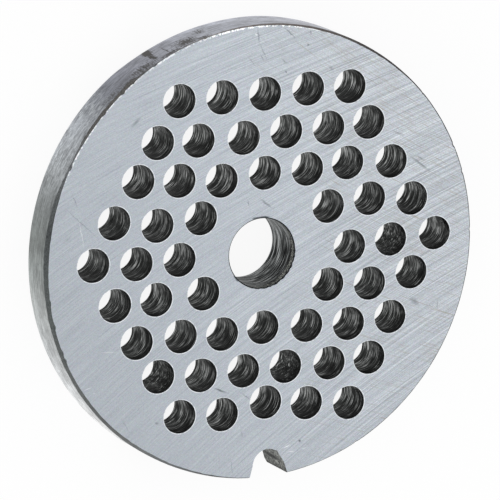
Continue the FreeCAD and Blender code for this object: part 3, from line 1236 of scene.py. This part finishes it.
@dataclass(frozen=True)
class ReamedBore(Metal):
    """The bore's wall: grey steel with fine reamer rings and painted highlights, worn pale under the mouth by
    the stud.
    """

    thickness: float
    name: str = "reamed_bore_wall"
    ring: Triple = (3.8 * MM, 3.8 * MM, 0.17 * MM)
    # The rough band under the mouth: the size of its crumbs and how far down it reaches
    crumb: float = 0.26 * MM
    band_height: float = 0.95 * MM
    roughness: float = 0.4
    sheen: tuple[float, float, float, float] = (0.55, 0.55, 0.55, 1.0)

    def pattern(self, nodes: Nodes, place: NodeSocket) -> dict:
        """Draw the rings of the bore and the worn band under its mouth.

        Args:
            nodes: The material's nodes.
            place: The object coordinates.

        Returns:
            What goes into the metal's shader, by input.
        """
        rings = nodes.streaks(place, self.ring, 1.5, 0.65, (0.02, -0.03, 0.0))
        inward = nodes.add("TexCoord").outputs["Normal"]
        # Painted highlight: the wall is painted lighter on the side that faces (-0.5, -0.87)
        facing_lit_side = nodes.add("VectorMath", {"operation": "DOT_PRODUCT", 0: inward, 1: (-0.5, -0.87, 0.0)})
        painted_highlight = nodes.add("MapRange", {
            "Value": facing_lit_side, "From Min": 0.3, "From Max": 1.0, "To Min": 0.0, "To Max": 0.10})
        # Greyer towards the back, darkest under the mouth
        height = nodes.add("SeparateXYZ", {"Vector": place}).outputs["Z"]
        depth = nodes.add("MapRange", {
            "Value": height, "From Max": self.thickness, "To Min": 0.02, "To Max": -0.05})
        lighter = nodes.add("Math", {"operation": "ADD", 0: painted_highlight, 1: depth})
        shaded = nodes.add("Math", {"operation": "ADD", 0: rings, 1: lighter})
        # The bright end of the ramp paints highlights on the rings
        wall = nodes.add("ValToRGB", {"Fac": shaded, "stops": [
            (0.42, "#191a1a"), (0.50, "#393b3b"), (0.56, "#787b7b"), (0.66, "#c5c8c8")]})
        # The stud has worn a rough grey band under the mouth, which the crumbs fray
        crumbs = nodes.add("TexNoise", {
            "Vector": place, "Scale": 1.0 / self.crumb, "Detail": 2.0, "Roughness": 0.7})
        band = nodes.add("ValToRGB", {"Fac": crumbs, "stops": [
            (0.40, "#2d2f2e"), (0.50, "#5f625f"), (0.60, "#a3a49d")]})
        fray = 1.6 * MM
        frayed = nodes.add("Math", {"operation": "MULTIPLY_ADD", 0: crumbs, 1: fray, 2: height})
        foot = self.thickness - self.band_height + fray / 2
        band_mask = nodes.add("MapRange", {
            "Value": frayed, "From Min": foot - 0.1 * MM, "From Max": foot + 0.2 * MM})
        colour = nodes.add("Mix", {"data_type": "RGBA", 0: band_mask, 6: wall, 7: band})
        bump = nodes.add("Bump", {"Height": rings, "Strength": 1.0, "Distance": 0.06 * MM})
        return {"Base Color": colour, "Roughness": self.roughness, "Specular Tint": self.sheen,
                "Normal": bump}


@dataclass(frozen=True)
class BoreEdge(Metal):
    """The broken edge of the bore, black with old grease."""

    name: str = "greasy_bore_edge"
    grain: float = 0.25 * MM
    roughness: float = 0.5
    # The grease hides a little of the metal
    bare_metal: float = 0.9

    def pattern(self, nodes: Nodes, place: NodeSocket) -> dict:
        """Draw clots of grease."""
        clots = nodes.add("TexNoise", {
            "Vector": place, "Scale": 1.0 / self.grain, "Detail": 3.0, "Roughness": 0.7})
        colour = nodes.add("ValToRGB", {"Fac": clots, "stops": [
            (0.4, "#17181a"), (0.55, "#2b2e2f"), (0.7, "#6c6f70")]})
        return {"Base Color": colour, "Metallic": self.bare_metal, "Roughness": self.roughness}


@dataclass(frozen=True)
class SawnWall(Metal):
    """The walls of the notch, sawn and filed by hand: grey, torn and dull, with a dark slanting crack."""

    name: str = "sawn_notch_wall"
    dark: str = "#222321"
    middle: str = "#676965"
    light: str = "#b0b2ae"
    darkest: str = "#202120"
    grain: float = 0.42 * MM
    # A ragged crack runs down the corner between the round end and the straight wall
    crack: Spot = Spot((2.55 * MM, -33.12 * MM, 3.2 * MM), 0.0, (1.3 * MM, 0.62 * MM, 4.4 * MM), 1.0)
    # The wall is darker along the corner with the rim
    corner: tuple[float, float] = (-34.25 * MM, -34.7 * MM)
    roughness: float = 0.55

    def pattern(self, nodes: Nodes, place: NodeSocket) -> dict:
        """Draw the torn wall, its crack and the darker bands along its edges.

        Args:
            nodes: The material's nodes.
            place: The object coordinates.

        Returns:
            What goes into the metal's shader, by input.
        """
        torn = nodes.add("TexNoise", {
            "Vector": place, "Scale": 1.0 / self.grain, "Detail": 4.0, "Roughness": 0.75})
        toned = nodes.add("ValToRGB", {"Fac": torn, "stops": [
            (0.38, self.dark), (0.5, self.middle), (0.64, self.light)]})
        crack = nodes.spots(place, [self.crack])
        cracked = nodes.add("Math", {"operation": "MULTIPLY_ADD", 0: torn, 1: 2.4, 2: crack})
        crack_mask = nodes.add("MapRange", {
            "Value": cracked, "From Min": 1.62, "From Max": 1.80, "To Max": 0.95})
        parts = nodes.add("SeparateXYZ", {"Vector": place}).outputs
        # The wall is darker along the corner with the rim and along the back edge
        by_rim = nodes.add("MapRange", {
            "Value": parts["Y"], "From Min": self.corner[0], "From Max": self.corner[1], "To Max": 0.8})
        by_back = nodes.add("MapRange", {
            "Value": parts["Z"], "From Min": 1.0 * MM, "From Max": 0.2 * MM, "To Max": 0.7})
        along_edges = nodes.add("Math", {"operation": "MAXIMUM", 0: by_rim, 1: by_back})
        darkened = nodes.add("Math", {"operation": "MAXIMUM", 0: crack_mask, 1: along_edges})
        colour = nodes.add("Mix", {"data_type": "RGBA", 0: darkened, 6: toned, 7: self.darkest})
        bump = nodes.add("Bump", {"Height": torn, "Strength": 0.8, "Distance": 0.06 * MM})
        return {"Base Color": colour, "Roughness": self.roughness, "Normal": bump}


@dataclass(frozen=True)
class PaintedGlintBurr(Metal):
    """The burr round each hole, partly rubbed bright and partly a painted glint, a thin pale line."""

    name: str = "rubbed_burr"
    worn: str = "#b9bec4"
    # The pale colour is partly a painted highlight
    bright: str = "#e4e8ec"
    grain: float = 0.4 * MM
    roughness: float = 0.35

    def pattern(self, nodes: Nodes, place: NodeSocket) -> dict:
        """Draw a bright line with worn stretches."""
        broken = nodes.add("TexNoise", {"Vector": place, "Scale": 1.0 / self.grain, "Detail": 2.0})
        colour = nodes.add("ValToRGB", {"Fac": broken, "stops": [(0.35, self.worn), (0.5, self.bright)]})
        return {"Base Color": colour, "Roughness": self.roughness}


@dataclass(frozen=True)
class Studio:
    """A white sweep under soft lamps, and the camera that looks down on the plate."""

    floor_size: float = 6.0
    # How much of the floor's white doesn't depend on the light. The rest keeps the plate's shadow.
    steady_white: float = 0.91
    world_light: float = 0.9
    camera_azimuth: float = 148.6
    camera_elevation: float = 62.64
    camera_roll: float = 116.72
    camera_distance: float = 0.8944
    camera_lens: float = 428.1
    aim: Triple = (-1.95 * MM, 0.75 * MM, 7.8 * MM)

    def build(self) -> None:
        """Build the floor, the world, the lamps and the camera."""
        self.lay_floor()
        self.light_world()
        self.hang_lamp("overhead_softbox", (0.55, -0.33, 1.24), 1.6, 2.4)
        self.hang_lamp("side_softbox", (-0.68, -0.59, 0.42), 0.6, 1.6)
        self.set_camera()

    def lay_floor(self) -> None:
        """Lay a large pale floor under the plate."""
        deselect_all()
        bpy.ops.mesh.primitive_plane_add(size=self.floor_size, location=(0, 0, 0))
        floor = bpy.context.object
        floor.name = "floor"
        material, nodes = new_material("white_card")
        white = nodes.add("Math", {"operation": "MULTIPLY", 0: nodes.looked_at(), 1: self.steady_white})
        card = nodes.add("BsdfDiffuse", {"Color": (0.9, 0.9, 0.9, 1.0)})
        glow = nodes.add("Emission", {"Color": (1.0, 1.0, 1.0, 1.0), "Strength": 1.0})
        nodes.add("OutputMaterial", {"Surface": nodes.add("MixShader", {0: white, 1: card, 2: glow})})
        floor.data.materials.append(material)

    def light_world(self) -> None:
        """Fill the world with soft white light, and show it as white."""
        world = bpy.data.worlds.new("white_studio")
        bpy.context.scene.world = world
        world.use_nodes = True
        world.node_tree.nodes.clear()
        nodes = Nodes(world.node_tree)
        strength = nodes.add("MapRange", {
            "Value": nodes.looked_at(), "To Min": self.world_light, "To Max": 1.0})
        sky = nodes.add("Background", {"Color": (1.0, 1.0, 1.0, 1.0), "Strength": strength})
        nodes.add("OutputWorld", {"Surface": sky})

    def hang_lamp(self, name: str, place: Triple, size: float, power: float) -> None:
        """Hang a square lamp that faces the plate.

        Args:
            name: The lamp's name.
            place: Where it hangs.
            size: The length of its side.
            power: Its power in watts.
        """
        light = bpy.data.lights.new(name, "AREA")
        light.size = size
        light.energy = power
        lamp = bpy.data.objects.new(name, light)
        lamp.location = place
        lamp.rotation_euler = (-Vector(place)).to_track_quat("-Z", "Y").to_euler()
        bpy.context.scene.collection.objects.link(lamp)

    def set_camera(self) -> None:
        """Set the camera where the photo was taken from, with a long lens and a turned frame."""
        azimuth, elevation = math.radians(self.camera_azimuth), math.radians(self.camera_elevation)
        towards = Vector((math.cos(azimuth) * math.cos(elevation), math.sin(azimuth) * math.cos(elevation),
                          math.sin(elevation)))
        data = bpy.data.cameras.new("camera")
        data.lens = self.camera_lens
        data.sensor_width = 36.0
        camera = bpy.data.objects.new("camera", data)
        bpy.context.scene.collection.objects.link(camera)
        facing = (-towards).to_track_quat("-Z", "Y").to_matrix().to_4x4()
        camera.matrix_world = facing
        camera.rotation_euler = facing.to_euler()
        camera.rotation_euler.rotate_axis("Z", math.radians(self.camera_roll))
        camera.location = Vector(self.aim) + towards * self.camera_distance
        bpy.context.scene.camera = camera


def main() -> None:
    """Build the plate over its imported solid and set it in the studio."""
    logging.basicConfig(level=logging.INFO, format="%(message)s")
    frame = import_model()
    bpy.context.scene.view_settings.view_transform = "Standard"
    sizes = PlateSizes.read(frame)
    log.info("the packed solid has %d holes of %.2f mm", len(sizes.holes), sizes.holes[0].radius / MM * 2)

    plate = GrinderPlate(sizes)
    piece = plate.build()
    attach(piece, BODY)
    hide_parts(NODE)
    log.info("%s: %d faces", piece.name, len(piece.data.polygons))

    Studio().build()
    log.info("studio: floor, world, lamps and camera")


if __name__ == "__main__":
    main()
